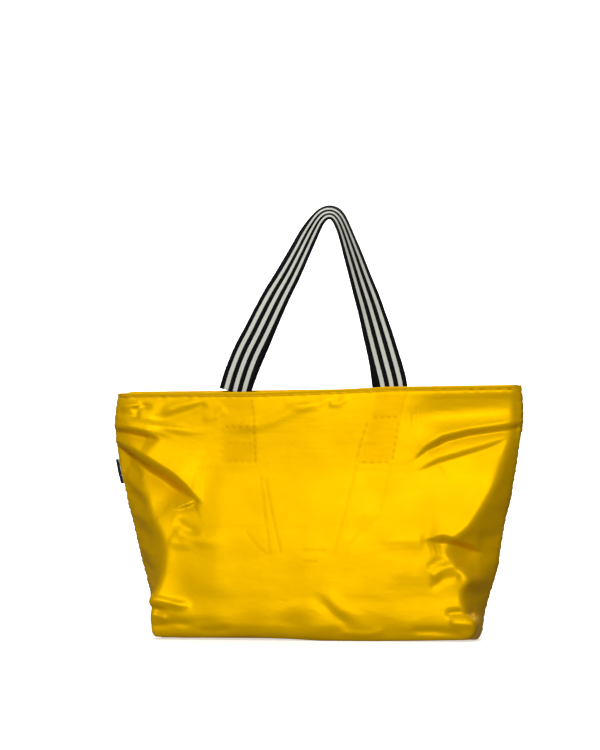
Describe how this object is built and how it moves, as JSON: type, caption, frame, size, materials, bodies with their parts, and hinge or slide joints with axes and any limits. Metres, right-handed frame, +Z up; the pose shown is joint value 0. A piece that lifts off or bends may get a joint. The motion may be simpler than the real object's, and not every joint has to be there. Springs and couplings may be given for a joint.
{
  "type": "foldable tote bag",
  "caption": "Soft rectangular nylon tote with boxed bottom corners, zipped rim, striped webbing handles, blank side label and inner stow pouch.",
  "frame": {"origin": "centre of the flat bottom, at floor level", "axes": "+X along the rim to the right as seen from the front, +Y from the front panel to the back panel, +Z up"},
  "size_m": [0.4994, 0.138, 0.5206],
  "materials": {
    "nylon": "smooth satin woven nylon",
    "binding": "woven binding tape",
    "thread": "sewing thread",
    "webbing": "black twill webbing with three off-white stripes",
    "zip_tape": "woven tape",
    "zip_coil": "satin nylon coil",
    "metal": "satin",
    "label_cloth": "plain woven label, blank"
  },
  "bodies": {
    "front": {"front_panel": "nylon", "stow_pouch": "nylon", "zip_left_end_tab": "nylon", "zip_right_end_tab": "nylon", "front_rim_hem": "binding", "left_side_seam_binding": "binding", "right_side_seam_binding": "binding", "left_corner_seam_binding": "binding", "right_corner_seam_binding": "binding", "bottom_seam_binding": "binding", "stow_pouch_hem": "binding", "stow_pouch_binding": "binding", "front_left_strap_stitching": "thread", "front_right_strap_stitching": "thread", "front_left_strap_tail": "webbing", "front_right_strap_tail": "webbing", "zip_front_tape": "zip_tape", "zip_front_coil": "zip_coil", "zip_front_top_stop": "metal", "zip_bottom_stop": "metal", "side_label": "label_cloth"},
    "back": {"back_panel": "nylon", "back_rim_hem": "binding", "back_left_strap_tail": "webbing", "back_right_strap_tail": "webbing", "back_left_strap_stitching": "thread", "back_right_strap_stitching": "thread", "zip_back_tape": "zip_tape", "zip_back_coil": "zip_coil", "zip_back_top_stop": "metal"},
    "front_handle": {"front_handle": "webbing"},
    "back_handle": {"back_handle": "webbing"},
    "slider": {"zip_slider": "metal"},
    "pull": {"zip_pull": "metal"}
  },
  "joints": [
    {"name": "fold_flat", "type": "hinge", "parent": "front", "child": "back", "pos_m": [0, 0, 0.296], "axis": [-1, 0, 0], "range_deg": [0, 22], "deforming": ["front_panel", "back_panel", "front_rim_hem", "back_rim_hem", "zip_front_tape", "zip_back_tape", "zip_front_coil", "zip_back_coil", "zip_left_end_tab", "zip_right_end_tab", "left_side_seam_binding", "right_side_seam_binding", "left_corner_seam_binding", "right_corner_seam_binding", "bottom_seam_binding", "zip_bottom_stop", "zip_front_top_stop", "zip_back_top_stop"]},
    {"name": "front_handle_swing", "type": "hinge", "parent": "front", "child": "front_handle", "pos_m": [0, -0.012, 0.297], "axis": [1, 0, 0], "range_deg": [0, 150]},
    {"name": "back_handle_swing", "type": "hinge", "parent": "front", "child": "back_handle", "pos_m": [0, 0.012, 0.297], "axis": [-1, 0, 0], "range_deg": [0, 150]},
    {"name": "zip_run", "type": "slide", "parent": "front", "child": "slider", "axis": [1, 0, 0], "range_m": [0, 0.43], "deforming": ["zip_front_coil", "zip_back_coil"]},
    {"name": "zip_pull_flip", "type": "hinge", "parent": "slider", "child": "pull", "pos_m": [-0.2205, 0, 0.293], "axis": [0, -1, 0], "range_deg": [0, 180]}
  ]
}
